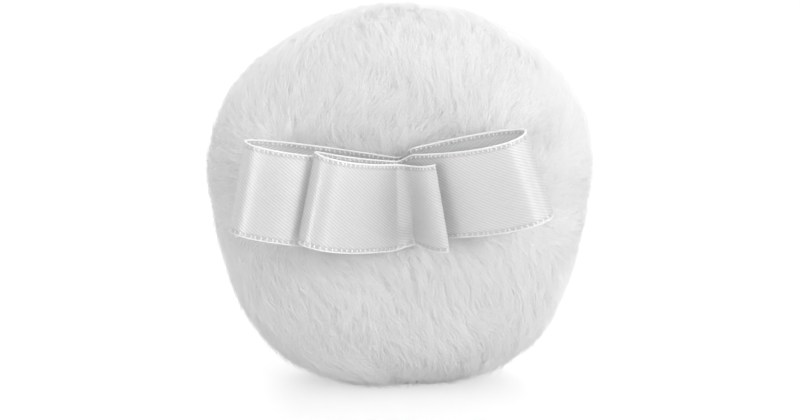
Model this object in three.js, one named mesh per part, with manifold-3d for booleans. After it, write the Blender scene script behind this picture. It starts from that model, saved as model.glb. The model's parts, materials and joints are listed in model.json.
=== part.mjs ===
// Powder puff: a round plush pad that stands on its rim, with a folded satin ribbon bow tacked to its back.
// Millimetres, +Z up. The bow faces -Y, the powder face +Y. The origin lies on the flat of the rim.

import * as THREE from 'three';
import { mergeVertices } from 'three/addons/utils/BufferGeometryUtils.js';
import Module from 'manifold-3d';

const wasm = await Module();
wasm.setup();

// Pad
const puffRadius = 43;
const backDepth = 22.5;
const frontDepth = 20.5;
const crownPower = 2.6;
const plushThickness = 8;
const footFlat = 0.5;
const powderFlat = 0.5;
const seamSetback = 3;

// The pile's outline is not quite round: waves round the rim, each with its height and the angle of a crest.
const rimWaves = [
  { count: 2, height: 0.7, crestAngle: 76 },
  { count: 3, height: 0.7, crestAngle: 36 },
  { count: 4, height: 0.9, crestAngle: 46 },
  { count: 5, height: 0.7, crestAngle: 20 },
];

// The pile is pressed down under the bow.
const pressDepth = 2.5;
const pressHalfWidth = 20;
const pressHalfHeight = 30;

// Perimeter seam
const seamGap = 0.3;
const allowanceWidth = 6;
const allowanceThickness = 2;
const seamInset = 2.5;
const seamThreadRadius = 0.3;
const threadClearance = 0.35;
const seamStitches = 18;
const seamStartAngle = 125;
const seamSpanAngle = 296;
const closingStitches = 4;
const closingStartAngle = 68;
const closingSpanAngle = 50;

// Ribbon and bow
const ribbonWidth = 20;
const ribbonThickness = 0.5;
const ribbonLayers = 4;
const layerGap = 0.3;
const waistWidth = 3.2;
const rootClearance = 0.45;
const tackShift = 0.9;
const tackRise = 3.3;
const leftLoop = { side: -1, reach: 36, opening: 8.2, swing: 8, arch: 0.2, backShare: 0.35, tilt: 10.5, lean: 0,
  flare: 0, rise: 0.4 };
const rightLoop = { side: 1, reach: 29.2, opening: 8, swing: 7, arch: 0.2, backShare: 0.35, tilt: 15.5, lean: 7,
  flare: 0.015, rise: 3 };
const frontLoop = { side: -1, reach: 21.3, opening: 3.8, arch: 1, backShare: 0.14, tilt: 14, lean: leftLoop.lean,
  flare: -0.025, rise: 0.65 };
const tail = { side: 1, reach: 8, tilt: 16, lean: rightLoop.lean, flare: -0.15, rise: 1.5 };
const frontLoopLift = 1.95;
const tailLift = 3.35;

// Tack
const tackRadius = 0.8;
const tackClearance = 0.3;
const knotRadius = 1.8;
const tackBarLength = 5;
const tackBarRadius = 0.45;

// General
const fitGap = 0.4;
const fillingGap = 0.6;
const cutMargin = 5;
const rimSegments = 44;
const outerRings = 10;
const innerRings = 6;
const loopSteps = 32;
const tailSteps = 10;
const threadSides = 5;
const holeSides = 6;
const roundSides = 12;
const foldSamples = 8;
const holeOverrun = 0.5;
const mergeDistance = 0.001;

const layerPitch = ribbonThickness + layerGap;
const waistThickness = ribbonLayers * layerPitch - layerGap;
const innerRadius = puffRadius - plushThickness;
const allowanceEdge = innerRadius - allowanceWidth;
const seamRadius = innerRadius - seamInset;
const seamFace = seamGap / 2;
const allowanceBack = seamFace + allowanceThickness;
const stitchHeight = allowanceBack + threadClearance + seamThreadRadius;
const lensPeak = 1.5 * Math.sqrt(3);

const radians = THREE.MathUtils.degToRad;

const rimRadius = (angle) => rimWaves.reduce(
  (radius, wave) => radius + wave.height * Math.cos(wave.count * (angle - radians(wave.crestAngle))), puffRadius);
const axisHeight = rimRadius(-Math.PI / 2) - footFlat;

// How far the pile sinks at a place, fading out with the height above the seam as a share of the crown.
const pressed = (x, z, crownShare) => pressDepth * crownShare ** 2 * Math.exp(
  -(((x - tackShift) / pressHalfWidth) ** 2) - ((z - tackRise) / pressHalfHeight) ** 2);

// Height of the pressed back pile at a height above the pad's axis, in line with the tack.
function pileHeight(z) {
  const crownShare = (1 - (Math.hypot(tackShift, z) / puffRadius) ** crownPower) ** (1 / crownPower);
  return backDepth * crownShare - pressed(tackShift, z, crownShare);
}

// The waist lies on the highest pile under it.
const pileUnderWaist = Math.max(...[-1, 0, 1].map((end) => pileHeight(tackRise + (end * ribbonWidth) / 2)));
const waistY = -pileUnderWaist - fitGap - waistThickness / 2;

// A closed geometry as a solid, its faces turned outwards whichever way its outline ran.
function solidOf(geometry) {
  const bare = geometry.clone();
  bare.deleteAttribute('normal');
  bare.deleteAttribute('uv');
  const merged = mergeVertices(bare, mergeDistance);
  const places = merged.attributes.position;
  const corner = (i) => new THREE.Vector3().fromBufferAttribute(places, i);
  const faces = [];
  let volume = 0;
  for (let i = 0; i < merged.index.count; i += 3) {
    const [a, b, c] = merged.index.array.slice(i, i + 3);
    if (a === b || b === c || c === a) continue;
    faces.push([a, b, c]);
    volume += corner(a).dot(corner(b).cross(corner(c)));
  }
  const turned = volume < 0 ? faces.map(([a, b, c]) => [a, c, b]) : faces;
  return new wasm.Manifold(new wasm.Mesh({
    numProp: 3,
    vertProperties: new Float32Array(places.array),
    triVerts: new Uint32Array(turned.flat()),
  }));
}

function meshOf(name, solid, material) {
  const { vertProperties, triVerts } = solid.getMesh();
  const geometry = new THREE.BufferGeometry();
  geometry.setAttribute('position', new THREE.BufferAttribute(new Float32Array(vertProperties), 3));
  geometry.setIndex(new THREE.BufferAttribute(new Uint32Array(triVerts), 1));
  geometry.computeVertexNormals();
  const mesh = new THREE.Mesh(geometry, material);
  mesh.name = name;
  return mesh;
}

// A round bar along Y from one height to another.
function barAlongY(radius, from, to, x, z, sides) {
  return new THREE.CylinderGeometry(radius, radius, to - from, sides).translate(x, (from + to) / 2, z);
}

// Half of a crown's outline, from the axis to its edge, or only down to a lowest height.
function crownOutline(radius, depth, rings, lowest = 0) {
  const edge = radius * (1 - (lowest / depth) ** crownPower) ** (1 / crownPower);
  const sweep = Math.asin(edge / radius);
  return Array.from({ length: rings + 1 }, (_, i) => {
    const r = radius * Math.sin((sweep * i) / rings);
    return new THREE.Vector2(r, i < rings ? depth * (1 - (r / radius) ** crownPower) ** (1 / crownPower) : lowest);
  });
}

// A plush panel: pile outside, knit backing inside, its edge turned in as a seam allowance.
function panelSolid(depth, facing) {
  const outer = crownOutline(puffRadius, depth, outerRings);
  outer[outerRings].y = seamFace;
  const inner = crownOutline(innerRadius, depth - plushThickness, innerRings, allowanceBack).reverse();
  const outline = [
    ...outer,
    new THREE.Vector2(allowanceEdge, seamFace),
    new THREE.Vector2(allowanceEdge, allowanceBack),
    ...inner,
  ];
  const shell = new THREE.LatheGeometry(outline, rimSegments);
  const places = shell.attributes.position;
  for (let i = 0; i < places.count; i += 1) {
    const [x, z] = [places.getX(i), places.getZ(i)];
    const onPile = i % outline.length <= outerRings;
    const spread = onPile ? rimRadius(Math.atan2(z, x)) / puffRadius : 1;
    const height = places.getY(i);
    const crown = onPile ? depth : depth - plushThickness;
    const sunk = facing < 0 && height > allowanceBack ? pressed(x * spread, z * spread, height / crown) : 0;
    places.setXYZ(i, x * spread, facing * (height - sunk), z * spread);
  }
  return solidOf(shell).subtract(floorBlock()).subtract(stitchHoles());
}

function floorBlock() {
  const size = 2 * (puffRadius + cutMargin);
  return solidOf(new THREE.BoxGeometry(size, size, size).translate(0, 0, -axisHeight - size / 2));
}

// Angles where a row of stitches passes through both allowances.
function stitchAngles(start, span, stitches) {
  return Array.from({ length: stitches + 1 }, (_, i) => radians(start + (span * i) / stitches));
}

function stitchHoles() {
  const reach = allowanceBack + holeOverrun;
  const angles = [
    ...stitchAngles(seamStartAngle, seamSpanAngle, seamStitches),
    ...stitchAngles(closingStartAngle, closingSpanAngle, closingStitches),
  ];
  return angles
    .map((a) => [seamRadius * Math.cos(a), seamRadius * Math.sin(a)])
    .map(([x, z]) => solidOf(barAlongY(seamThreadRadius + threadClearance, -reach, reach, x, z, holeSides)))
    .reduce((all, hole) => all.add(hole));
}

// A running stitch: along one side of the allowances, down through a hole, along the other side, and so on.
function stitchSolid(start, span, stitches) {
  const bend = threadClearance + seamThreadRadius;
  const turn = bend / seamRadius;
  const angles = stitchAngles(start, span, stitches);
  const route = angles.flatMap((angle, i) => {
    const side = i % 2 ? -1 : 1;
    return [
      [angle - turn, side * stitchHeight],
      [angle, side * (stitchHeight - bend)],
      [angle, -side * (stitchHeight - bend)],
      [angle + turn, -side * stitchHeight],
    ];
  });
  const outward = route.map(([angle]) => new THREE.Vector3(Math.cos(angle), 0, Math.sin(angle)));
  const points = route.map(([, y], i) => outward[i].clone().multiplyScalar(seamRadius).setY(y));
  const places = points.flatMap((point, i) => {
    const after = points[Math.min(i + 1, points.length - 1)];
    const before = points[Math.max(i - 1, 0)];
    const across = new THREE.Vector3().subVectors(after, before).cross(outward[i]).normalize();
    return Array.from({ length: threadSides }, (_, k) => (2 * Math.PI * k) / threadSides).flatMap((a) => point.clone()
      .addScaledVector(outward[i], seamThreadRadius * Math.cos(a))
      .addScaledVector(across, seamThreadRadius * Math.sin(a))
      .toArray());
  });
  return solidOf(sweptRings(places, points.length, threadSides));
}

// Skin and end caps over rings of points that follow each other along a path.
function sweptRings(places, ringCount, sides) {
  const faces = [];
  for (let ring = 0; ring + 1 < ringCount; ring += 1) {
    for (let k = 0; k < sides; k += 1) {
      const [a, b] = [ring * sides + k, ring * sides + ((k + 1) % sides)];
      faces.push(a, b, a + sides, b, b + sides, a + sides);
    }
  }
  const last = (ringCount - 1) * sides;
  for (let k = 1; k + 1 < sides; k += 1) {
    faces.push(0, k + 1, k, last, last + k, last + k + 1);
  }
  const geometry = new THREE.BufferGeometry();
  geometry.setAttribute('position', new THREE.Float32BufferAttribute(places, 3));
  geometry.setIndex(faces);
  return geometry;
}

// The filling: a crowned cushion inside both panels, grooved for the seam allowances and drawn in under the tack.
function fillingSolid() {
  const radius = innerRadius - fillingGap;
  const grooveHalf = stitchHeight + seamThreadRadius + fitGap;
  const grooveRadius = allowanceEdge - fitGap;
  const half = (depth) => crownOutline(radius, depth - plushThickness - fillingGap, innerRings, grooveHalf);
  const back = half(backDepth).map((p) => new THREE.Vector2(p.x, -p.y)).reverse();
  const outline = [
    ...half(frontDepth),
    new THREE.Vector2(grooveRadius, grooveHalf),
    new THREE.Vector2(grooveRadius, -grooveHalf),
    ...back,
  ];
  const cushion = new THREE.LatheGeometry(outline, rimSegments);
  const places = cushion.attributes.position;
  for (let i = 0; i < places.count; i += 1) {
    const y = places.getY(i);
    const crownShare = -y / (backDepth - plushThickness - fillingGap);
    const sunk = y < -grooveHalf ? pressed(places.getX(i), places.getZ(i), crownShare) : 0;
    places.setY(i, y + sunk);
  }
  const hollow = new THREE.SphereGeometry(knotRadius + fitGap, roundSides, roundSides / 2);
  return solidOf(cushion).subtract(solidOf(hollow.translate(tackShift, knotY(), tackRise)));
}

// The knot lies against the inner side of the back panel.
function knotY() {
  return -(backDepth - plushThickness - pressDepth) + fitGap + knotRadius;
}

// Plan line of a folded loop, seen along the ribbon's width: out along its back, round the fold, back along its front.
class LoopLine extends THREE.Curve {
  constructor(loop) {
    super();
    this.loop = loop;
  }

  getPoint(t, target = new THREE.Vector2()) {
    const { side, reach, opening, swing, arch, backShare } = this.loop;
    const way = 2 * t - 1;
    const out = 1 - way ** 2;
    const share = way < 0 ? backShare : 1 - backShare;
    const belly = opening * share * lensPeak * out;
    const middle = swing * (arch * Math.sin((Math.PI / 2) * out) + (1 - arch) * out);
    return target.set(side * reach * out, -(middle + way * (belly + layerPitch / 2)));
  }

  // How far the front strip stands forward of the root, a distance out from it.
  frontAt(distance) {
    return -this.getPoint((1 + Math.sqrt(1 - distance / this.loop.reach)) / 2).y;
  }
}

// Plan line of the cut tail, which curls forwards off the waist.
class TailLine extends THREE.Curve {
  getPoint(t, target = new THREE.Vector2()) {
    return target.set(tail.reach * t, -tailSwing * Math.sin((Math.PI / 2) * t));
  }
}

// How far each strip's root stands forward of the waist's middle. The right loop leans, so it comes forward until
// its low edge clears the pile.
const leftLoopForward = -layerPitch;
const rightLoopForward = (ribbonWidth / 2) * Math.sin(radians(rightLoop.lean)) - layerPitch / 2;
const frontLoopForward = waistThickness / 2 - layerGap / 2;
const tailForward = waistThickness / 2 + layerGap / 2;

// The front loop lies on the left loop's front, and the tail stands off the right loop's front.
const frontLoopSwing = new LoopLine(leftLoop).frontAt(frontLoop.reach) + leftLoopForward + frontLoopLift
  - frontLoopForward;
const tailSwing = new LoopLine(rightLoop).frontAt(tail.reach) + rightLoopForward + tailLift - tailForward;

// One side of a strip, at a distance from its plan line. Inside a tight fold, points that would come closer to the
// line than that are left out.
function stripSide(line, steps, distance) {
  const along = line.getPoints(foldSamples * steps);
  const least = Math.abs(distance) - mergeDistance;
  const side = Array.from({ length: steps + 1 }, (_, i) => {
    const tangent = line.getTangent(i / steps);
    return line.getPoint(i / steps).add(new THREE.Vector2(-tangent.y, tangent.x).multiplyScalar(distance));
  });
  return side.filter((place) => along.every((point) => point.distanceTo(place) >= least));
}

// A strip of ribbon standing on its plan line, its lower edge reaching further out by the flare. It leans and
// tilts as the loop does, and is cut back to where the waist holds it.
function ribbonSolid(line, steps, loop, forward) {
  const edges = [
    ...stripSide(line, steps, ribbonThickness / 2),
    ...stripSide(line, steps, -ribbonThickness / 2).reverse(),
  ];
  const strip = new THREE.ExtrudeGeometry(new THREE.Shape(edges), { depth: ribbonWidth, bevelEnabled: false });
  strip.translate(0, 0, -ribbonWidth / 2);
  const places = strip.attributes.position;
  for (let i = 0; i < places.count; i += 1) {
    places.setX(i, places.getX(i) * (1 - (loop.flare * places.getZ(i)) / (ribbonWidth / 2)));
  }
  strip.rotateX(radians(loop.lean)).rotateY(radians(-loop.side * loop.tilt)).translate(0, -forward, loop.rise);
  const roomSize = 2 * ribbonWidth;
  const waistRoom = new THREE.BoxGeometry(roomSize, roomSize, roomSize);
  waistRoom.translate(loop.side * (waistWidth / 2 + rootClearance - roomSize / 2), 0, 0);
  return solidOf(strip).subtract(solidOf(waistRoom));
}

// The waist: the ribbon's layers lying on each other, the right loop's layers standing higher, with the tack's hole.
function waistSolid() {
  const half = waistThickness / 2;
  const low = -ribbonWidth / 2;
  const high = ribbonWidth / 2;
  const outline = [[-half, low], [half, low], [half, high + rightLoop.rise], [0, high + rightLoop.rise], [0, high],
    [-half, high]];
  const shape = new THREE.Shape(outline.map(([y, z]) => new THREE.Vector2(y, z)));
  const stack = new THREE.ExtrudeGeometry(shape, { depth: waistWidth, bevelEnabled: false });
  stack.translate(0, 0, -waistWidth / 2);
  stack.applyMatrix4(new THREE.Matrix4().makeBasis(
    new THREE.Vector3(0, 1, 0), new THREE.Vector3(0, 0, 1), new THREE.Vector3(1, 0, 0)));
  const hole = barAlongY(tackRadius + tackClearance, -half - cutMargin, half + cutMargin, 0, 0, roundSides);
  return solidOf(stack).subtract(solidOf(hole));
}

// The tack: a bar stitch on the waist's front, a shank through waist and back panel, and a knot inside.
function tackSolid() {
  const knot = knotY() - waistY;
  const barY = -waistThickness / 2 - layerGap - tackBarRadius;
  const shank = solidOf(barAlongY(tackRadius, barY, knot, 0, 0, roundSides));
  const bar = new THREE.CylinderGeometry(tackBarRadius, tackBarRadius, tackBarLength, roundSides);
  bar.rotateX(Math.PI / 2).translate(0, barY, 0);
  const ball = new THREE.SphereGeometry(knotRadius, roundSides, roundSides / 2).translate(0, knot, 0);
  return shank.add(solidOf(bar)).add(solidOf(ball));
}

// Materials
const plush = new THREE.MeshStandardMaterial({ color: 0xf2f2f2, roughness: 1, metalness: 0 });
const backing = new THREE.MeshStandardMaterial({ color: 0xe6e6e4, roughness: 0.95, metalness: 0 });
const satin = new THREE.MeshStandardMaterial({ color: 0xececec, roughness: 0.35, metalness: 0 });
const thread = new THREE.MeshStandardMaterial({ color: 0xefefef, roughness: 0.6, metalness: 0 });

// Pad
const pad = new THREE.Group();
const powderBlock = new THREE.BoxGeometry(2 * puffRadius, 2 * cutMargin, 2 * puffRadius);
powderBlock.translate(0, frontDepth - powderFlat + cutMargin, 0);
const tackPass = barAlongY(
  tackRadius + tackClearance, -backDepth - cutMargin, -cutMargin, tackShift, tackRise, roundSides);
pad.add(
  meshOf('front_plush_panel', panelSolid(frontDepth, 1).subtract(solidOf(powderBlock)), plush),
  meshOf('back_plush_panel', panelSolid(backDepth, -1).subtract(solidOf(tackPass)), plush),
  meshOf('filling_core', fillingSolid(), backing),
  meshOf('perimeter_seam_thread', stitchSolid(seamStartAngle, seamSpanAngle, seamStitches), thread),
  meshOf('closing_stitch_thread', stitchSolid(closingStartAngle, closingSpanAngle, closingStitches), thread),
);

// Bow
const loopMesh = (name, loop, forward) => meshOf(
  name, ribbonSolid(new LoopLine(loop), loopSteps, loop, forward), satin);

const bow = new THREE.Group();
bow.position.set(tackShift, waistY, tackRise);
bow.add(
  loopMesh('left_loop', leftLoop, leftLoopForward),
  loopMesh('right_loop', rightLoop, rightLoopForward),
  loopMesh('front_loop', { ...frontLoop, swing: frontLoopSwing }, frontLoopForward),
  meshOf('ribbon_tail', ribbonSolid(new TailLine(), tailSteps, tail, tailForward), satin),
  meshOf('ribbon_waist', waistSolid(), satin),
  meshOf('tack_thread', tackSolid(), thread),
);

const puff = new THREE.Group();
puff.position.set(0, seamSetback, axisHeight);
puff.add(pad, bow);
puff.updateMatrixWorld(true);

export default puff;
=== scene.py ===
"""Looks of the powder puff: plush pad with pile, satin ribbon bow, thread, floor, light and camera."""

import json
import math

import bmesh
import bpy
import numpy as np
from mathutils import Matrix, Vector, kdtree, noise


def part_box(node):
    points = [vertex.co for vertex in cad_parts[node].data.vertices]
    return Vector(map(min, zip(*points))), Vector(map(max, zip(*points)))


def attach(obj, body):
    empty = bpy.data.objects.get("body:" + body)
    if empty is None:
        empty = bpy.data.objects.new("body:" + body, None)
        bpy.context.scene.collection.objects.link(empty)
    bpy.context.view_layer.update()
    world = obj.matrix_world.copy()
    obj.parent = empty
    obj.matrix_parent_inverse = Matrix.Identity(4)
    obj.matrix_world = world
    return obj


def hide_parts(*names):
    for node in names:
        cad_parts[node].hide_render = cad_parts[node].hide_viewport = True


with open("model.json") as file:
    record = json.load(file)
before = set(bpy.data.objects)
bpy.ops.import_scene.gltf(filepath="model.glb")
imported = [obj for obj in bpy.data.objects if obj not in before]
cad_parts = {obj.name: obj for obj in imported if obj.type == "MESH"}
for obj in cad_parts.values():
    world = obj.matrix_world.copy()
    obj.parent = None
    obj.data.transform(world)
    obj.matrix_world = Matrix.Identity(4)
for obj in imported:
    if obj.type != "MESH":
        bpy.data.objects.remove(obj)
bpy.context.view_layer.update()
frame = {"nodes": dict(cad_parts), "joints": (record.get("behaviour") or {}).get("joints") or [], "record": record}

MM = 0.001
rng = np.random.default_rng(20)

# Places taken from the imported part, in millimetres as all lengths below
mounts = {m["name"]: m for m in frame["record"]["mounts"]}
joints = {j["name"]: j for j in frame["joints"]}
AXIS_HEIGHT = mounts["powder_face"]["pos_m"][2] / MM
BOW_CENTRE = np.array(joints["bow_swivel"]["pos_m"]) / MM

# Pad, the sizes of its solids
PUFF_RADIUS = 43.0
BACK_DEPTH = 22.5
FRONT_DEPTH = 20.5
CROWN_POWER = 2.6
SEAM_SETBACK = 3.0
PRESS_DEPTH = 2.5
PRESS_HALF_WIDTH = 20.0
PRESS_HALF_HEIGHT = 30.0
TACK_SHIFT = BOW_CENTRE[0]
TACK_RISE = BOW_CENTRE[2] - AXIS_HEIGHT

# Waves of the pile's outline round the rim: how many, how high, and the angle of a crest in degrees
RIM_WAVES = ((2, 0.7, 76), (3, 0.7, 36), (4, 0.9, 46), (5, 0.7, 20))

# Bed of the pile: how far it lies under the pile's outline, its soft lumps and its grid
PILE_HEIGHT = 1.5
LUMP_SIZE = 9.0
LUMP_HEIGHT = 0.5
BED_RINGS = 48
BED_SEGMENTS = 144
WELD_DISTANCE = 0.02

# Strands, in clumps that share a direction
STRANDS = 160000
CLUMPS = 9000
STRANDS_PER_PIECE = 12000
STRAND_LENGTH = 7.0
STRAND_RADIUS = 0.045
STRAND_TAPER = 0.75
STRAND_RINGS = (0.0, 0.3, 0.65)
STRAND_SIDES = 3

# How strands lie: a clump's lean off the skin's normal in degrees, other angles in radians
CLUMP_LEAN = 72
CLUMP_LEAN_SPREAD = 5
CLUMP_LENGTH_SPREAD = 0.07
WHORL_SIZE = 14
WHORL_TURN = 1.1
TURN_SPREAD = 0.2
LEAN_SPREAD = 0.1
LENGTH_SPREAD = 0.08
ROOT_LEAN_SHARE = 0.6
TIP_LEAN_SHARE = 1.35
GATHER_SHARES = (0.1, 0.5)
GATHER_POWER = 1.4
WOBBLE = 0.2
WOBBLE_TURN = 4
OUTLINE_SHARE = 0.99
STRAY_SHARE = 0.01
FLOOR_CLEARANCE = 0.1

# How the pile is combed away from the bow
FAN_ABOVE = 0.25
FAN_BELOW = -0.1
FAN_AT_BOW = 0.9
FAN_BAND = 9
SWEEP_BELOW = 0.45

# Pile under the bow: how far it keeps off the ribbon, and the swivel angles at which it does, in degrees
BOW_GAP = 0.5
WAIST_MARGIN = 2
END_MARGIN = 0.5
SIDE_MARGIN = 1
SWIVEL_STEPS = (-20, -10, 0, 10, 20)

# Ribbon, the sizes of its solids, and in twill the side to which its weave lines slant
RIBBON_WIDTH = 20.0
RIBBON_LAYERS = 4
LAYER_PITCH = 0.8
LAYER_GAP = 0.3
WAIST_WIDTH = 3.2
ROOT_CLEARANCE = 0.45
LENS_PEAK = 1.5 * math.sqrt(3)
LEFT_LOOP = dict(side=-1, reach=36, opening=8.2, swing=8, arch=0.2, back_share=0.35, tilt=10.5, lean=0,
                 flare=0, rise=0.4, twill=1)
RIGHT_LOOP = dict(side=1, reach=29.2, opening=8, swing=7, arch=0.2, back_share=0.35, tilt=15.5, lean=7,
                  flare=0.015, rise=3, twill=-1)
FRONT_LOOP = dict(side=-1, reach=21.3, opening=3.8, arch=1, back_share=0.14, tilt=14, lean=0,
                  flare=-0.025, rise=0.65, twill=1)
TAIL = dict(side=1, reach=8, tilt=16, lean=7, flare=-0.15, rise=1.5, twill=1)
FRONT_LOOP_LIFT = 1.95
TAIL_LIFT = 3.35

# Ribbon as it is seen: thinner than its solids, with a cord and small teeth along its woven edges
RIBBON_THICKNESS = 0.34
GRID_STEP = 0.4
FEWEST_STEPS = 8
TWILL_PITCH = 0.62
TWILL_ANGLE = 32
TWILL_HEIGHT = 0.02
CORD_SIZE = (0.22, 0.25)
CORD_INSET = 0.1
CORD_SIDES = 6
TOOTH_PITCH = 1.1
TOOTH_SIZE = (0.34, 0.58, 0.28)
TOOTH_INSET = 0.6
EDGE_COLUMNS = 3
# Painted shade in the satin between the edge teeth: how far in it reaches, where it fades in, and what share of
# the colour it leaves
GAP_DEPTH = 1.3
GAP_FADE = 0.7
PAINTED_GAP_SHADE = 0.86
SHARP_ANGLE = 50
UV_PER_MM = 0.1
BAKE_MARGIN = 0.02

# Share of the light that passes through
PILE_THROUGH = 0.5
SATIN_THROUGH = 0.4

# Floor, the surroundings' light from the left and from the right, and the bounces that white pile needs
FLOOR_HALF = 4.0
FLOOR_GREY = 0.55
FLOOR_GLOW = 0.5
LEFT_LIGHT = 0.46
RIGHT_LIGHT = 0.82
ALL_BOUNCES = 24
SOFT_BOUNCES = 20

# Photograph: where the tack lies in the 800 by 420 frame, and the camera that sees it there
PHOTO_WIDTH = 800
PHOTO_HEIGHT = 420
TACK_PIXEL = (405, 208)
CAMERA_ELEVATION = 16
CAMERA_DISTANCE = 676.0
CAMERA_FOCAL_PIXELS = 3154.5
CAMERA_CLIP_END = 20
SENSOR_WIDTH = 36.0


# Points and meshes
def unit(vectors):
    return vectors / np.maximum(np.linalg.norm(vectors, axis=-1, keepdims=True), 1e-9)


def rim_spread(angle):
    """How far the pile's outline stands at an angle round the pad, beside a true circle."""
    radius = PUFF_RADIUS
    for count, height, crest in RIM_WAVES:
        radius = radius + height * np.cos(count * (angle - math.radians(crest)))
    return radius / PUFF_RADIUS


def pressed(x, z, crown_share):
    """How far the pile sinks under the bow."""
    across = ((x - TACK_SHIFT) / PRESS_HALF_WIDTH) ** 2 + ((z - TACK_RISE) / PRESS_HALF_HEIGHT) ** 2
    return PRESS_DEPTH * crown_share ** 2 * np.exp(-across)


def to_world(points):
    """Points in the pad's own frame, in the part's frame."""
    return points + np.array([0.0, SEAM_SETBACK, AXIS_HEIGHT])


def placed(name, mesh, material):
    """An object in the scene from a mesh, with its material."""
    mesh.materials.append(material)
    piece = bpy.data.objects.new(name, mesh)
    bpy.context.scene.collection.objects.link(piece)
    return piece


def new_piece(name, points, faces, material):
    """A smooth mesh piece from points in millimetres."""
    mesh = bpy.data.meshes.new(name)
    mesh.from_pydata((np.asarray(points) * MM).tolist(), [], faces)
    mesh.validate()
    mesh.shade_smooth()
    return placed(name, mesh, material)


def quads_from_grid(rows, columns, closed=False):
    """Faces of a grid of points, joined round its columns where it is closed."""
    wide = columns if closed else columns - 1
    i, j = np.meshgrid(np.arange(rows - 1), np.arange(wide), indexing="ij")
    a = i * columns + j
    b = i * columns + (j + 1) % columns
    return np.stack([a, b, b + columns, a + columns], -1).reshape(-1, 4).tolist()


def joined(solids):
    """One list of points and faces from several."""
    verts, faces, first = [], [], 0
    for points, sides in solids:
        verts.append(points)
        faces += [[index + first for index in face] for face in sides]
        first += len(points)
    return np.concatenate(verts), faces


def tube(line, side, lift, radii):
    """Points and faces of a tube along a line, with its cross directions at each point."""
    turn = np.arange(CORD_SIDES) * 2 * math.pi / CORD_SIDES
    ring = (line[:, None] + side[:, None] * np.cos(turn)[None, :, None] * radii[0]
            + lift[:, None] * np.sin(turn)[None, :, None] * radii[1])
    last = (len(line) - 1) * CORD_SIDES
    caps = [list(range(CORD_SIDES))[::-1], list(range(last, last + CORD_SIDES))]
    return ring.reshape(-1, 3), quads_from_grid(len(line), CORD_SIDES, closed=True) + caps


# Parts of materials
def new_material(name):
    material = bpy.data.materials.new(name)
    material.use_nodes = True
    nodes = material.node_tree.nodes
    return material, nodes, material.node_tree.links, nodes["Principled BSDF"]


def two_tones(nodes, dark, light):
    """A colour ramp from a darker to a lighter tone."""
    ramp = nodes.new("ShaderNodeValToRGB")
    ramp.color_ramp.elements[0].color = (*dark, 1)
    ramp.color_ramp.elements[1].color = (*light, 1)
    return ramp


def grey(level):
    return level, level, level


def multiplied(nodes, links, one, other):
    """One colour times another. Inputs 6 and 7 and output 2 are the mix node's colour sockets."""
    mix = nodes.new("ShaderNodeMix")
    mix.data_type = "RGBA"
    mix.blend_type = "MULTIPLY"
    mix.inputs[0].default_value = 1
    links.new(one, mix.inputs[6])
    links.new(other, mix.inputs[7])
    return mix.outputs[2]


def let_through(nodes, links, shader, colour, share):
    """Gives a thin surface the share of light that passes through it."""
    through = nodes.new("ShaderNodeBsdfTranslucent")
    both = nodes.new("ShaderNodeMixShader")
    both.inputs[0].default_value = share
    links.new(colour, through.inputs["Color"])
    links.new(shader.outputs[0], both.inputs[1])
    links.new(through.outputs[0], both.inputs[2])
    links.new(both.outputs[0], nodes["Material Output"].inputs["Surface"])


def textured(name, kind, settings, dark, light, roughness):
    """A matt material whose colour follows one texture in the object's own space."""
    material, nodes, links, shader = new_material(name)
    place = nodes.new("ShaderNodeTexCoord")
    texture = nodes.new(kind)
    for socket, value in settings.items():
        texture.inputs[socket].default_value = value
    ramp = two_tones(nodes, dark, light)
    links.new(place.outputs["Object"], texture.inputs["Vector"])
    links.new(texture.outputs[0], ramp.inputs[0])
    links.new(ramp.outputs[0], shader.inputs["Base Color"])
    shader.inputs["Roughness"].default_value = roughness
    return material, nodes, links, shader, texture


# Materials
def pile_material():
    """White pile that lets light through: darker towards the roots with a little painted shade, each strand a
    little different.
    """
    material, nodes, links, shader = new_material("pile")
    place = nodes.new("ShaderNodeUVMap")
    place.uv_map = "OFBake"
    split = nodes.new("ShaderNodeSeparateXYZ")
    # Painted shade: the colour darkens a little from the tips down to the roots
    along = two_tones(nodes, grey(0.975), grey(0.998))
    along.color_ramp.elements[1].position = 0.6
    strand = two_tones(nodes, (0.985, 0.985, 0.987), grey(1))
    links.new(place.outputs[0], split.inputs[0])
    links.new(split.outputs["Y"], along.inputs[0])
    links.new(split.outputs["X"], strand.inputs[0])
    colour = multiplied(nodes, links, along.outputs[0], strand.outputs[0])
    links.new(colour, shader.inputs["Base Color"])
    shader.inputs["Roughness"].default_value = 0.75
    shader.inputs["Specular IOR Level"].default_value = 0.2
    let_through(nodes, links, shader, colour, PILE_THROUGH)
    return material


def backing_material():
    """The bed that the pile stands on: fine rows of loops, a little darker than the pile."""
    rows = {"Scale": 180, "Distortion": 2}
    material, nodes, links, shader, wave = textured(
        "pile_backing", "ShaderNodeTexWave", rows, grey(0.88), grey(0.95), 0.9)
    bump = nodes.new("ShaderNodeBump")
    bump.inputs["Strength"].default_value = 0.3
    bump.inputs["Distance"].default_value = 0.4 * MM
    links.new(wave.outputs[0], bump.inputs["Height"])
    links.new(bump.outputs[0], shader.inputs["Normal"])
    return material


def weave_lines(nodes, links, place):
    """A wave with its crests along the ribbon's diagonal weave lines."""
    slant = math.radians(TWILL_ANGLE)
    per_line = 2 * math.pi / (TWILL_PITCH * UV_PER_MM)
    line = nodes.new("ShaderNodeVectorMath")
    line.operation = "DOT_PRODUCT"
    line.inputs[1].default_value = (math.sin(slant) * per_line, math.cos(slant) * per_line, 0)
    wave = nodes.new("ShaderNodeMath")
    wave.operation = "SINE"
    links.new(place, line.inputs[0])
    links.new(line.outputs["Value"], wave.inputs[0])
    return wave.outputs[0]


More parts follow.
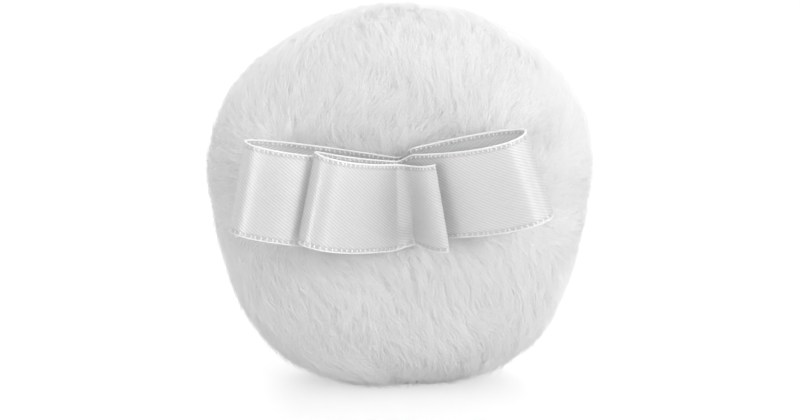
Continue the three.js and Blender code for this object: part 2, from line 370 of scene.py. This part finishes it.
def weave_tint(nodes, links, place, wave):
    """The satin's tone, which follows its weave lines unevenly."""
    cloud = nodes.new("ShaderNodeTexNoise")
    cloud.inputs["Scale"].default_value = 14
    cloud.inputs["Detail"].default_value = 5
    uneven = nodes.new("ShaderNodeMath")
    uneven.operation = "MULTIPLY_ADD"
    uneven.inputs[1].default_value = 1.6
    level = nodes.new("ShaderNodeMapRange")
    level.inputs["From Min"].default_value = -1
    level.inputs["From Max"].default_value = 2.4
    tint = two_tones(nodes, (0.78, 0.78, 0.785), grey(0.96))
    links.new(place, cloud.inputs["Vector"])
    links.new(cloud.outputs[0], uneven.inputs[0])
    links.new(wave, uneven.inputs[2])
    links.new(uneven.outputs[0], level.inputs["Value"])
    links.new(level.outputs[0], tint.inputs[0])
    return tint.outputs[0]


def painted_gap_shade(nodes, links, place):
    """Painted shade in the gaps between the teeth, along both of the ribbon's edges."""
    split = nodes.new("ShaderNodeSeparateXYZ")
    from_middle = nodes.new("ShaderNodeMath")
    from_middle.operation = "ABSOLUTE"
    edge = nodes.new("ShaderNodeMapRange")
    edge.inputs["From Min"].default_value = (RIBBON_WIDTH / 2 - GAP_DEPTH) * UV_PER_MM
    edge.inputs["From Max"].default_value = (RIBBON_WIDTH / 2 - GAP_DEPTH * GAP_FADE) * UV_PER_MM
    edge.inputs["To Min"].default_value = 1
    edge.inputs["To Max"].default_value = PAINTED_GAP_SHADE
    links.new(place, split.inputs[0])
    links.new(split.outputs["Y"], from_middle.inputs[0])
    links.new(from_middle.outputs[0], edge.inputs["Value"])
    return edge.outputs[0]


def satin_material():
    """White satin: diagonal weave lines, lustre across the ribbon and painted shade in the gaps along its edges.
    """
    material, nodes, links, shader = new_material("satin")
    weave = nodes.new("ShaderNodeUVMap")
    weave.uv_map = "weave"
    place = weave.outputs[0]
    wave = weave_lines(nodes, links, place)
    # The satin's tone, darkened by the painted shade between the edge teeth
    colour = multiplied(nodes, links, weave_tint(nodes, links, place, wave), painted_gap_shade(nodes, links, place))
    bump = nodes.new("ShaderNodeBump")
    bump.inputs["Strength"].default_value = 1
    bump.inputs["Distance"].default_value = TWILL_HEIGHT * MM
    tangent = nodes.new("ShaderNodeTangent")
    tangent.direction_type = "UV_MAP"
    tangent.uv_map = "weave"
    links.new(wave, bump.inputs["Height"])
    links.new(colour, shader.inputs["Base Color"])
    links.new(bump.outputs[0], shader.inputs["Normal"])
    links.new(tangent.outputs[0], shader.inputs["Tangent"])
    shader.inputs["Metallic"].default_value = 0.3
    shader.inputs["Roughness"].default_value = 0.35
    shader.inputs["Anisotropic"].default_value = 0.7
    shader.inputs["Anisotropic Rotation"].default_value = 0.25
    let_through(nodes, links, shader, colour, SATIN_THROUGH)
    return material


def selvedge_material():
    """The plain white yarn of the ribbon's woven edges."""
    return textured("selvedge", "ShaderNodeTexNoise", {"Scale": 2500}, grey(0.8), grey(0.93), 0.5)[0]


def thread_material():
    """White sewing thread with a twist."""
    material, _, _, _, wave = textured(
        "sewing_thread", "ShaderNodeTexWave", {"Scale": 700}, grey(0.78), grey(0.93), 0.55)
    wave.bands_direction = "DIAGONAL"
    return material


def wadding_material():
    """Polyester wadding: matt white fibres in loose clouds."""
    clouds = {"Scale": 300, "Detail": 6}
    return textured("wadding", "ShaderNodeTexNoise", clouds, (0.75, 0.75, 0.73), (0.92, 0.92, 0.9), 0.95)[0]


# Pad
def lumps(points):
    """Height of the pile's soft unevenness at points."""
    return LUMP_HEIGHT * np.array([noise.noise(Vector(p) / LUMP_SIZE) for p in points])


def bed_points(depth, facing):
    """Points of a panel's bed under the pile, from its middle to the seam, in the part's frame."""
    share = np.sin(np.linspace(0, math.pi / 2, BED_RINGS))[:, None]
    angle = np.linspace(0, 2 * math.pi, BED_SEGMENTS, endpoint=False)[None, :]
    crown = (1 - share ** CROWN_POWER) ** (1 / CROWN_POWER)
    radius = (PUFF_RADIUS - PILE_HEIGHT) * share * rim_spread(angle)
    x = radius * np.cos(angle)
    z = radius * np.sin(angle)
    height = (depth - PILE_HEIGHT) * crown * np.ones_like(angle)
    if facing < 0:
        height = height - pressed(x, z, crown)
    points = np.stack([x, facing * height, z], -1).reshape(-1, 3)
    return to_world(points * (1 + lumps(points) / PUFF_RADIUS)[:, None])


def plush_panel(name, node, depth, facing, material):
    """One panel's bed, the dense lower pile that carries the strands, with its faces turned outwards."""
    faces = quads_from_grid(BED_RINGS, BED_SEGMENTS, closed=True)
    piece = new_piece(name, bed_points(depth, facing), faces, material)
    clean = bmesh.new()
    clean.from_mesh(piece.data)
    bmesh.ops.remove_doubles(clean, verts=clean.verts, dist=WELD_DISTANCE * MM)
    bmesh.ops.recalc_face_normals(clean, faces=clean.faces)
    centre = Vector((0, SEAM_SETBACK * MM, AXIS_HEIGHT * MM))
    outward = sum((f.calc_center_median() - centre).dot(f.normal) * f.calc_area() for f in clean.faces)
    if outward < 0:
        bmesh.ops.reverse_faces(clean, faces=clean.faces)
    clean.to_mesh(piece.data)
    clean.free()
    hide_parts(node)
    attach(piece, "puff")
    return piece


def roots_on(piece, count):
    """Root points and skin normals of strands spread evenly over a panel."""
    mesh = piece.data
    mesh.calc_loop_triangles()
    corners = np.zeros(len(mesh.loop_triangles) * 3, int)
    mesh.loop_triangles.foreach_get("vertices", corners)
    corners = corners.reshape(-1, 3)
    points = np.zeros(len(mesh.vertices) * 3)
    mesh.vertices.foreach_get("co", points)
    points = points.reshape(-1, 3) / MM
    normals = np.zeros(len(mesh.vertices) * 3)
    mesh.vertices.foreach_get("normal", normals)
    normals = normals.reshape(-1, 3)
    a, b, c = (points[corners[:, k]] for k in range(3))
    area = np.linalg.norm(np.cross(b - a, c - a), axis=1) / 2
    chosen = rng.choice(len(area), count, p=area / area.sum())
    u, v = rng.random((2, count))
    flip = u + v > 1
    u[flip], v[flip] = 1 - u[flip], 1 - v[flip]
    weights = np.stack([1 - u - v, u, v], -1)[:, :, None]
    root = (points[corners[chosen]] * weights).sum(1)
    normal = (normals[corners[chosen]] * weights).sum(1)
    return root, unit(normal)


def nap(root):
    """Direction in which the pile is combed: up above the bow, down and a little to the right below it."""
    aside = root[:, 0] - BOW_CENTRE[0]
    rise = root[:, 2] - BOW_CENTRE[2]
    fan = np.where(rise > 0, FAN_ABOVE, FAN_BELOW) + FAN_AT_BOW * np.exp(-(rise / FAN_BAND) ** 2)
    return np.stack([fan * aside + SWEEP_BELOW * np.maximum(-rise, 0), np.zeros_like(rise), rise], -1)


def strand_ways(root, normal, turn, lean):
    """Directions of strands at their roots and tips: they rise from the skin and lean with the nap."""
    along = nap(root)
    along = unit(along - (along * normal).sum(1, keepdims=True) * normal)
    sideways = np.cross(normal, along)
    along = along * np.cos(turn)[:, None] + sideways * np.sin(turn)[:, None]
    return [normal * np.cos(lean * share)[:, None] + along * np.sin(lean * share)[:, None]
            for share in (ROOT_LEAN_SHARE, TIP_LEAN_SHARE)]


def line_points(root, ways, length, shares):
    """Points along each strand at shares of its length."""
    start, finish = ways
    s = shares[None, :, None]
    bend = start[:, None] * s + (finish - start)[:, None] * s ** 2 / 2
    return root[:, None] + length[:, None, None] * bend


def laid_down(points, outline):
    """Strands that would stand out of the pile's outline, bent back onto it."""
    local = points - to_world(np.zeros(3))
    x, y, z = np.moveaxis(local, -1, 0)
    wide = np.hypot(x, z) / (PUFF_RADIUS * rim_spread(np.arctan2(z, x)))
    deep = np.abs(y) / np.where(y < 0, BACK_DEPTH, FRONT_DEPTH)
    level = (wide ** CROWN_POWER + deep ** CROWN_POWER) ** (1 / CROWN_POWER)
    return to_world(local / np.maximum(level / outline[:, None], 1)[..., None])


def behind_bow(points):
    """Keeps pile points behind the bow's back strips, also where these brush over the pile in a swivel."""
    local = points - BOW_CENTRE
    keep_off = RIBBON_THICKNESS / 2 + BOW_GAP
    back_half = np.linspace(0, 0.5, 60)
    for loop in (LEFT_LOOP, RIGHT_LOOP):
        line = strip_points(loop, back_half, np.zeros_like(back_half))
        out = line[:, 0] * loop["side"]
        order = np.argsort(out)
        slope = math.tan(math.radians(loop["lean"]))
        for swivel in np.radians(SWIVEL_STEPS):
            aside = local[..., 0] * np.cos(swivel) + local[..., 2] * np.sin(swivel)
            up = local[..., 2] * np.cos(swivel) - local[..., 0] * np.sin(swivel)
            reach = aside * loop["side"]
            above = up - np.interp(reach, out[order], line[order, 2])
            back = np.interp(reach, out[order], line[order, 1]) - above * slope + keep_off
            under = (reach > -WAIST_MARGIN) & (reach < loop["reach"] + END_MARGIN)
            under = under & (np.abs(above) < RIBBON_WIDTH / 2 + SIDE_MARGIN)
            local[..., 1] = np.where(under, np.maximum(local[..., 1], back), local[..., 1])
    return local + BOW_CENTRE


def nearest(places, among):
    """For each place, the number of the nearest one among others."""
    tree = kdtree.KDTree(len(among))
    for i, place in enumerate(among):
        tree.insert(place, i)
    tree.balance()
    return np.array([tree.find(place)[1] for place in places])


def grow_pile(name, panel, count, clumps, material):
    """Pile on one panel: strands gathered into soft clumps, in pieces of a size that can be handed on."""
    root, normal = roots_on(panel, count)
    tuft_root, tuft_normal = roots_on(panel, clumps)
    whorl = np.array([noise.noise(Vector(place) / WHORL_SIZE) for place in tuft_root])
    tuft_turn = whorl * WHORL_TURN + rng.normal(0, TURN_SPREAD, clumps)
    tuft_length = STRAND_LENGTH * rng.normal(1, CLUMP_LENGTH_SPREAD, clumps)
    tuft_lean = np.radians(rng.normal(CLUMP_LEAN, CLUMP_LEAN_SPREAD, clumps))
    tuft_ways = strand_ways(tuft_root, tuft_normal, tuft_turn, tuft_lean)
    tuft_outline = OUTLINE_SHARE + lumps(tuft_root) / PUFF_RADIUS

    near = nearest(root, tuft_root)
    turn = tuft_turn[near] + rng.normal(0, TURN_SPREAD, count)
    lean = tuft_lean[near] + rng.normal(0, LEAN_SPREAD, count)
    length = tuft_length[near] * rng.normal(1, LENGTH_SPREAD, count)

    shares = np.array(STRAND_RINGS + (1.0,))
    points = line_points(root, strand_ways(root, normal, turn, lean), length, shares)
    gather = rng.uniform(*GATHER_SHARES, count)[:, None, None] * shares[None, :, None] ** GATHER_POWER
    points = points + gather * (line_points(tuft_root, tuft_ways, tuft_length, shares)[near] - points)
    wobble = rng.normal(0, WOBBLE, (count, 1, 3)) * np.sin(shares * WOBBLE_TURN)[None, :, None]
    points = laid_down(points + wobble, tuft_outline[near] + STRAY_SHARE * rng.exponential(1, count))
    points = behind_bow(points)
    points[..., 2] = np.maximum(points[..., 2], FLOOR_CLEARANCE)

    for first in range(0, count, STRANDS_PER_PIECE):
        part = slice(first, min(first + STRANDS_PER_PIECE, count))
        strand_piece(f"{name}_{first // STRANDS_PER_PIECE + 1}", points[part], normal[part], material)


def strand_faces(rings):
    """Triangles of one strand: its sides ring by ring, its tip, which is the last point, and its root."""
    faces = []
    for ring in range(rings - 1):
        for k in range(STRAND_SIDES):
            a, b = ring * STRAND_SIDES + k, ring * STRAND_SIDES + (k + 1) % STRAND_SIDES
            faces += [(a, b, b + STRAND_SIDES), (a, b + STRAND_SIDES, a + STRAND_SIDES)]
    last = (rings - 1) * STRAND_SIDES
    tip = rings * STRAND_SIDES
    faces += [(last + k, last + (k + 1) % STRAND_SIDES, tip) for k in range(STRAND_SIDES)]
    faces.append(tuple(range(STRAND_SIDES))[::-1])
    return np.array(faces)


def strand_piece(name, points, normal, material):
    """Tapered strands of three sides, each with its own place in the colour map."""
    count = len(points)
    rings = len(STRAND_RINGS)
    along = unit(np.gradient(points, axis=1))
    side = unit(np.cross(along, normal[:, None]))
    lift = np.cross(side, along)
    taper = STRAND_RADIUS * (1 - STRAND_TAPER * np.array(STRAND_RINGS))
    turn = np.arange(STRAND_SIDES) * 2 * math.pi / STRAND_SIDES + math.pi / 2
    round_out = (side[:, :rings, None] * np.cos(turn)[None, None, :, None]
                 + lift[:, :rings, None] * np.sin(turn)[None, None, :, None])
    body = points[:, :rings, None] + round_out * taper[None, :, None, None]
    per_strand = rings * STRAND_SIDES + 1
    verts = np.concatenate([body.reshape(count, -1, 3), points[:, rings:]], 1)
    faces = (strand_faces(rings)[None] + per_strand * np.arange(count)[:, None, None]).reshape(-1, 3)

    mesh = bpy.data.meshes.new(name)
    mesh.vertices.add(count * per_strand)
    mesh.vertices.foreach_set("co", (verts * MM).ravel())
    mesh.loops.add(faces.size)
    mesh.loops.foreach_set("vertex_index", faces.ravel())
    mesh.polygons.add(len(faces))
    mesh.polygons.foreach_set("loop_start", np.arange(0, faces.size, 3))
    mesh.update(calc_edges=True)
    mesh.shade_flat()

    place = np.concatenate([np.repeat(STRAND_RINGS, STRAND_SIDES), [1.0]])
    tone = rng.random(count)
    uv = np.stack([np.repeat(tone[:, None], per_strand, 1), np.tile(place, (count, 1))], -1).reshape(-1, 2)
    layer = mesh.uv_layers.new(name="OFBake")
    layer.data.foreach_set("uv", (BAKE_MARGIN + (1 - 2 * BAKE_MARGIN) * uv[faces.ravel()]).ravel())
    piece = placed(name, mesh, material)
    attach(piece, "puff")


def filling(material):
    """The wadding inside: a crowned cushion with an uneven surface, grooved for the seam."""
    rings, segments = 24, 96
    slack = 0.3
    groove_depth, groove_width = 0.16, 0.22
    lump_scale, lump_share, size_share = 6, 0.025, 0.97
    low, high = (np.array(corner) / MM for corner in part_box("filling_core"))
    middle = (low + high) / 2
    half = (high - low) / 2 - slack
    tilt = np.linspace(-math.pi / 2, math.pi / 2, rings)[:, None]
    angle = np.linspace(0, 2 * math.pi, segments, endpoint=False)[None, :]
    power = 2 / CROWN_POWER
    height = np.sign(np.sin(tilt)) * np.abs(np.sin(tilt)) ** power * np.ones_like(angle)
    groove = 1 - groove_depth * np.exp(-(height / groove_width) ** 2)
    radius = np.abs(np.cos(tilt)) ** power * groove
    points = np.stack([radius * np.cos(angle), height, radius * np.sin(angle)], -1).reshape(-1, 3)
    uneven = np.array([noise.noise(Vector(p) * lump_scale) for p in points])
    points = middle + points * half * (size_share + lump_share * uneven[:, None])
    faces = quads_from_grid(rings, segments, closed=True)
    piece = new_piece("wadding_core", points, faces, material)
    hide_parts("filling_core")
    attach(piece, "puff")


# Bow
def loop_line(loop, t):
    """Plan line of a folded loop: out along its back, round the fold, back along its front."""
    way = 2 * t - 1
    out = 1 - way ** 2
    share = np.where(way < 0, loop["back_share"], 1 - loop["back_share"])
    belly = loop["opening"] * share * LENS_PEAK * out
    middle = loop["swing"] * (loop["arch"] * np.sin(math.pi / 2 * out) + (1 - loop["arch"]) * out)
    return loop["side"] * loop["reach"] * out, -(middle + way * (belly + LAYER_PITCH / 2))


def tail_line(t):
    """Plan line of the cut tail, which curls forwards off the waist."""
    return TAIL["reach"] * t, -TAIL["swing"] * np.sin(math.pi / 2 * t)


def front_at(loop, distance):
    """How far a loop's front strip stands forward of its root, a distance out from it."""
    t = (1 + math.sqrt(1 - distance / loop["reach"])) / 2
    return -float(loop_line(loop, np.array(t))[1])


def set_strips():
    """How far each strip stands forward, from the strips that it lies on."""
    waist_half = (RIBBON_LAYERS * LAYER_PITCH - LAYER_GAP) / 2
    LEFT_LOOP["forward"] = -LAYER_PITCH
    RIGHT_LOOP["forward"] = RIBBON_WIDTH / 2 * math.sin(math.radians(RIGHT_LOOP["lean"])) - LAYER_PITCH / 2
    FRONT_LOOP["forward"] = waist_half - LAYER_GAP / 2
    TAIL["forward"] = waist_half + LAYER_GAP / 2
    FRONT_LOOP["swing"] = (front_at(LEFT_LOOP, FRONT_LOOP["reach"]) + LEFT_LOOP["forward"] + FRONT_LOOP_LIFT
                           - FRONT_LOOP["forward"])
    TAIL["swing"] = front_at(RIGHT_LOOP, TAIL["reach"]) + RIGHT_LOOP["forward"] + TAIL_LIFT - TAIL["forward"]


def strip_points(loop, t, v):
    """Points of a strip in the bow's frame: t along its plan line, v across its width in millimetres."""
    x, y = tail_line(t) if loop is TAIL else loop_line(loop, t)
    x = x * (1 - loop["flare"] * v / (RIBBON_WIDTH / 2))
    lean = math.radians(loop["lean"])
    turn = math.radians(-loop["side"] * loop["tilt"])
    y, z = y * math.cos(lean) - v * math.sin(lean), y * math.sin(lean) + v * math.cos(lean)
    x, z = x * math.cos(turn) + z * math.sin(turn), -x * math.sin(turn) + z * math.cos(turn)
    return np.stack([x, y - loop["forward"], z + loop["rise"]], -1)


def root_cut(loop, v, low, high):
    """Where along the strip it meets the waist, for each place across its width, by halving."""
    edge = WAIST_WIDTH / 2 + ROOT_CLEARANCE
    low = np.full_like(v, low)
    high = np.full_like(v, high)
    halvings = 40
    for _ in range(halvings):
        t = (low + high) / 2
        inside = strip_points(loop, t, v)[:, 0] * loop["side"] < edge
        low, high = np.where(inside, t, low), np.where(inside, high, t)
    return (low + high) / 2


def grid_steps(length):
    """How many steps of the grid a length takes."""
    return max(int(round(length / GRID_STEP)), FEWEST_STEPS)


def strip_grid(loop):
    """A strip's points on an even grid, with the length along it and the place across it."""
    across = np.linspace(-RIBBON_WIDTH / 2, RIBBON_WIDTH / 2, int(RIBBON_WIDTH / GRID_STEP) + 1)
    if loop is TAIL:
        first, last = root_cut(loop, across, 0.0, 1.0), np.ones_like(across)
    else:
        first, last = root_cut(loop, across, 0.0, 0.5), root_cut(loop, across, 1.0, 0.5)
    fine = np.linspace(0, 1, 2000)
    middle = len(across) // 2
    line = strip_points(loop, first[middle] + (last - first)[middle] * fine, np.zeros_like(fine))
    length = np.concatenate([[0], np.cumsum(np.linalg.norm(np.diff(line, axis=0), axis=1))])
    along = np.linspace(0, length[-1], grid_steps(length[-1]) + 1)
    share = np.interp(along, length, fine)
    t = first[None, :] + (last - first)[None, :] * share[:, None]
    v = np.broadcast_to(across, t.shape)
    return strip_points(loop, t, v), along, across


def bridge_grid(start, start_way, finish, finish_way):
    """A short stretch of ribbon across the waist, which carries on from one strip's root into another's."""
    span = np.linalg.norm(finish - start, axis=1).mean()
    steps = grid_steps(span)
    s = np.linspace(0, 1, steps + 1)[:, None, None]
    points = ((2 * s ** 3 - 3 * s ** 2 + 1) * start + (s ** 3 - 2 * s ** 2 + s) * span * start_way
              + (3 * s ** 2 - 2 * s ** 3) * finish + (s ** 3 - s ** 2) * span * finish_way)
    return points, np.linspace(0, span, steps + 1)


def cloth_solid(points, normal):
    """Points and faces of a grid of cloth with its thickness: both sides and the wall round them."""
    rows, columns = points.shape[:2]
    total = rows * columns
    half = normal * RIBBON_THICKNESS / 2
    verts = np.concatenate([(points + half).reshape(-1, 3), (points - half).reshape(-1, 3)])
    skin = np.array(quads_from_grid(rows, columns))
    rim = np.concatenate([
        np.arange(columns), np.arange(1, rows) * columns + columns - 1,
        (rows - 1) * columns + np.arange(columns - 2, -1, -1), np.arange(rows - 2, 0, -1) * columns])
    after = np.roll(rim, -1)
    wall = np.stack([after, rim, rim + total, after + total], -1)
    return verts, np.concatenate([skin, skin[:, ::-1] + total, wall]).tolist()


def woven_edges(points, normal, along):
    """The ribbon's woven edges: a cord along each side, with a row of small teeth inside it."""
    ball = bmesh.new()
    bmesh.ops.create_icosphere(ball, subdivisions=1, radius=1)
    form = np.array([v.co[:] for v in ball.verts])
    form_faces = [[v.index for v in f.verts] for f in ball.faces]
    ball.free()
    way = unit(np.gradient(points, axis=0))
    count = max(int(along[-1] / TOOTH_PITCH), 1)
    rows = [int(np.argmin(np.abs(along - place))) for place in (np.arange(count) + 0.5) * along[-1] / count]
    last = points.shape[1] - 1
    solids = []
    for column, inner in ((0, EDGE_COLUMNS), (last, last - EDGE_COLUMNS)):
        edge, lift = points[:, column], normal[:, column]
        inward = unit(points[:, inner] - edge)
        solids.append(tube(edge + inward * CORD_INSET, inward, lift, CORD_SIZE))
        for row in rows:
            axes = np.stack([way[row, column], inward[row], lift[row]])
            solids.append((edge[row] + inward[row] * TOOTH_INSET + (form * TOOTH_SIZE) @ axes, form_faces))
    return solids


def ribbon_piece(name, points, along, across, twill, material, edging):
    """A strip of satin with its thickness, its map for the weave and its woven edges."""
    rows, columns = points.shape[:2]
    normal = unit(np.cross(np.gradient(points, axis=0), np.gradient(points, axis=1)))
    cloth_verts, cloth_faces = cloth_solid(points, normal)
    verts, faces = joined([(cloth_verts, cloth_faces)] + woven_edges(points, normal, along))
    piece = new_piece(name, verts + BOW_CENTRE, faces, material)
    mesh = piece.data
    mesh.materials.append(edging)
    on_edge = np.arange(len(faces)) >= len(cloth_faces)
    mesh.polygons.foreach_set("material_index", on_edge.astype(int))

    side_uv = np.stack([np.repeat(along * twill, columns), np.tile(across, rows)], -1) * UV_PER_MM
    uv = np.concatenate([side_uv, side_uv, np.zeros((len(verts) - len(cloth_verts), 2))])
    layer = mesh.uv_layers.new(name="weave")
    corner = np.zeros(len(mesh.loops), int)
    mesh.loops.foreach_get("vertex_index", corner)
    layer.data.foreach_set("uv", uv[corner].ravel())

    clean = bmesh.new()
    clean.from_mesh(mesh)
    bmesh.ops.recalc_face_normals(clean, faces=clean.faces)
    clean.to_mesh(mesh)
    clean.free()
    mesh.set_sharp_from_angle(angle=math.radians(SHARP_ANGLE))
    return piece


def strip_root(points, end):
    """A strip's first or last row and the direction in which it runs out towards the waist."""
    step = points[0] - points[1] if end == 0 else points[-1] - points[-2]
    return points[end], unit(step)


def build_bow(material, edging):
    """The ribbon's loops, its tail and the stretches that cross the waist."""
    strips, pieces, lengths = {}, {}, {}
    for name, loop, body in (("left_loop", LEFT_LOOP, "left_loop"), ("right_loop", RIGHT_LOOP, "right_loop"),
                             ("front_loop", FRONT_LOOP, "front_loop"), ("ribbon_tail", TAIL, "tail")):
        points, along, across = strip_grid(loop)
        piece = ribbon_piece(f"{name}_satin", points, along, across, loop["twill"], material, edging)
        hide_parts(name)
        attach(piece, body)
        strips[name], pieces[name], lengths[name] = points, piece, float(along[-1])

    crossings = (("waist_front_layer", ("front_loop", -1), ("ribbon_tail", 0), 1),
                 ("waist_middle_layer", ("front_loop", 0), ("right_loop", -1), -1),
                 ("waist_back_layer", ("left_loop", 0), ("right_loop", 0), -1))
    for name, (one, one_end), (other, other_end), twill in crossings:
        start, leaving = strip_root(strips[one], one_end)
        finish, meeting = strip_root(strips[other], other_end)
        points, along = bridge_grid(start, leaving, finish, -meeting)
        piece = ribbon_piece(name, points, along, across, twill, material, edging)
        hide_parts("ribbon_waist")
        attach(piece, "bow")
        pieces[name], lengths[name] = piece, float(along[-1])


# Tack
def thread_tube(line, radius):
    """A round thread along a line."""
    across = [0.3, 0.2, 0.9]
    way = unit(np.gradient(line, axis=0))
    side = unit(np.cross(way, across))
    return tube(line, side, np.cross(way, side), (radius, radius))


def tack_stitch(material):
    """The tack: two strands of thread under the front layer, through waist and panel, with a knot inside."""
    radius, twist, knot = 0.3, 0.35, 1.5
    knot_wide, knot_swell, knot_deep = 0.9, 0.3, 0.8
    twist_turns, knot_turns, windings_per_turn = 2, 3, 7 / 3
    front = -LAYER_PITCH / 2
    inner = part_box("tack_thread")[1][1] / MM - BOW_CENTRE[1] - 2 * knot
    share = np.linspace(0, 1, 60)
    solids = []
    for start in (0, math.pi):
        turn = start + 2 * math.pi * twist_turns * share
        line = np.stack([twist * np.cos(turn), front + (inner - front) * share, twist * np.sin(turn)], -1)
        solids.append(thread_tube(line, radius))
    turn = np.linspace(0, 2 * math.pi * knot_turns, 120)
    winding = turn * windings_per_turn
    wide = knot_wide + knot_swell * np.cos(winding)
    deep = inner + knot + knot_deep * np.sin(winding)
    line = np.stack([wide * np.cos(turn), deep, wide * np.sin(turn)], -1)
    verts, faces = joined(solids + [thread_tube(line, radius)])
    piece = new_piece("tack_stitch", verts + BOW_CENTRE, faces, material)
    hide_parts("tack_thread")
    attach(piece, "bow")


# Floor, light and camera
def floor_material():
    """A white table top that takes the puff's shadow and shows as white where nothing shades it."""
    material, nodes, links, shader = new_material("white_floor")
    path = nodes.new("ShaderNodeLightPath")
    seen = nodes.new("ShaderNodeMath")
    seen.operation = "MAXIMUM"
    strength = nodes.new("ShaderNodeMath")
    strength.operation = "MULTIPLY"
    strength.inputs[1].default_value = FLOOR_GLOW
    glow = nodes.new("ShaderNodeEmission")
    both = nodes.new("ShaderNodeAddShader")
    links.new(path.outputs["Is Camera Ray"], seen.inputs[0])
    links.new(path.outputs["Is Glossy Ray"], seen.inputs[1])
    links.new(seen.outputs[0], strength.inputs[0])
    links.new(strength.outputs[0], glow.inputs["Strength"])
    shader.inputs["Base Color"].default_value = (*grey(FLOOR_GREY), 1)
    shader.inputs["Roughness"].default_value = 0.6
    shader.inputs["Specular IOR Level"].default_value = 0.2
    links.new(shader.outputs[0], both.inputs[0])
    links.new(glow.outputs[0], both.inputs[1])
    links.new(both.outputs[0], nodes["Material Output"].inputs["Surface"])
    return material


def build_floor():
    """A wide flat floor under the puff."""
    mesh = bpy.data.meshes.new("floor")
    corners = [(x * FLOOR_HALF, y * FLOOR_HALF, 0) for x, y in ((-1, -1), (1, -1), (1, 1), (-1, 1))]
    mesh.from_pydata(corners, [], [(0, 1, 2, 3)])
    mesh.materials.append(floor_material())
    floor = bpy.data.objects.new("floor", mesh)
    bpy.context.scene.collection.objects.link(floor)


def build_world():
    """White where the camera looks past the floor, else a soft light that is stronger from the right."""
    world = bpy.data.worlds.new("studio")
    bpy.context.scene.world = world
    world.use_nodes = True
    nodes, links = world.node_tree.nodes, world.node_tree.links
    background = nodes["Background"]
    background.inputs["Color"].default_value = (1, 1, 1, 1)
    place = nodes.new("ShaderNodeTexCoord")
    split = nodes.new("ShaderNodeSeparateXYZ")
    side = nodes.new("ShaderNodeMapRange")
    side.inputs["From Min"].default_value = -1
    side.inputs["To Min"].default_value = LEFT_LIGHT
    side.inputs["To Max"].default_value = RIGHT_LIGHT
    path = nodes.new("ShaderNodeLightPath")
    strength = nodes.new("ShaderNodeMapRange")
    strength.inputs["To Max"].default_value = 1.0
    links.new(place.outputs["Generated"], split.inputs[0])
    links.new(split.outputs["X"], side.inputs["Value"])
    links.new(side.outputs[0], strength.inputs["To Min"])
    links.new(path.outputs["Is Camera Ray"], strength.inputs["Value"])
    links.new(strength.outputs[0], background.inputs["Strength"])


def soft_box(name, azimuth, elevation, size, power):
    """A soft box one metre from the middle of the puff, which it faces. Azimuth 0 is the camera's side."""
    lamp = bpy.data.lights.new(name, "AREA")
    lamp.shape = "RECTANGLE"
    lamp.size, lamp.size_y = size
    lamp.energy = power
    holder = bpy.data.objects.new(name, lamp)
    turn, rise = math.radians(azimuth), math.radians(elevation)
    way = Vector((math.sin(turn) * math.cos(rise), -math.cos(turn) * math.cos(rise), math.sin(rise)))
    holder.location = Vector((0, 0, AXIS_HEIGHT * MM)) + way
    holder.rotation_euler = (-way).to_track_quat("-Z", "Y").to_euler()
    bpy.context.scene.collection.objects.link(holder)


def build_light():
    """Soft boxes round the puff: azimuth and elevation in degrees, size in metres, power in watts."""
    soft_box("key_soft_box", 36, 20, (0.3, 0.6), 3.5)
    soft_box("left_front_soft_box", -32, 5, (0.3, 0.4), 2.4)
    soft_box("left_soft_box", -100, 12, (0.3, 0.6), 0.7)
    soft_box("right_soft_box", 75, 20, (0.2, 0.7), 1.1)
    soft_box("top_soft_box", 30, 75, (0.7, 0.7), 1.2)
    soft_box("rear_soft_box", 190, 35, (0.7, 0.7), 4.2)


def build_camera():
    """A camera at the photograph's angle, with the tack at its place in the frame."""
    camera = bpy.data.cameras.new("camera")
    camera.sensor_fit = "HORIZONTAL"
    camera.sensor_width = SENSOR_WIDTH
    camera.lens = SENSOR_WIDTH * CAMERA_FOCAL_PIXELS / PHOTO_WIDTH
    camera.shift_x = (PHOTO_WIDTH / 2 - TACK_PIXEL[0]) / PHOTO_WIDTH
    camera.shift_y = (TACK_PIXEL[1] - PHOTO_HEIGHT / 2) / PHOTO_WIDTH
    camera.clip_end = CAMERA_CLIP_END
    rise = math.radians(CAMERA_ELEVATION)
    backward = Vector((0, -math.cos(rise), math.sin(rise)))
    holder = bpy.data.objects.new("camera", camera)
    holder.location = (Vector(BOW_CENTRE) + CAMERA_DISTANCE * backward) * MM
    holder.rotation_euler = (math.pi / 2 - rise, 0, 0)
    bpy.context.scene.collection.objects.link(holder)
    bpy.context.scene.camera = holder


# The whole scene
set_strips()
build_camera()
thread = thread_material()
for name in ("perimeter_seam_thread", "closing_stitch_thread"):
    node = frame["nodes"][name]
    node.data.materials.clear()
    node.data.materials.append(thread)

backing = backing_material()
pile = pile_material()
back_panel = plush_panel("back_plush_backing", "back_plush_panel", BACK_DEPTH, -1, backing)
front_panel = plush_panel("front_plush_backing", "front_plush_panel", FRONT_DEPTH, 1, backing)
grow_pile("back_pile", back_panel, STRANDS // 2, CLUMPS // 2, pile)
grow_pile("front_pile", front_panel, STRANDS // 2, CLUMPS // 2, pile)
filling(wadding_material())
build_bow(satin_material(), selvedge_material())
tack_stitch(thread)
build_floor()
build_world()
build_light()

bpy.context.scene.cycles.max_bounces = ALL_BOUNCES
bpy.context.scene.cycles.diffuse_bounces = SOFT_BOUNCES
bpy.context.scene.cycles.transmission_bounces = SOFT_BOUNCES
bpy.context.scene.view_settings.view_transform = "Standard"
bpy.context.view_layer.update()
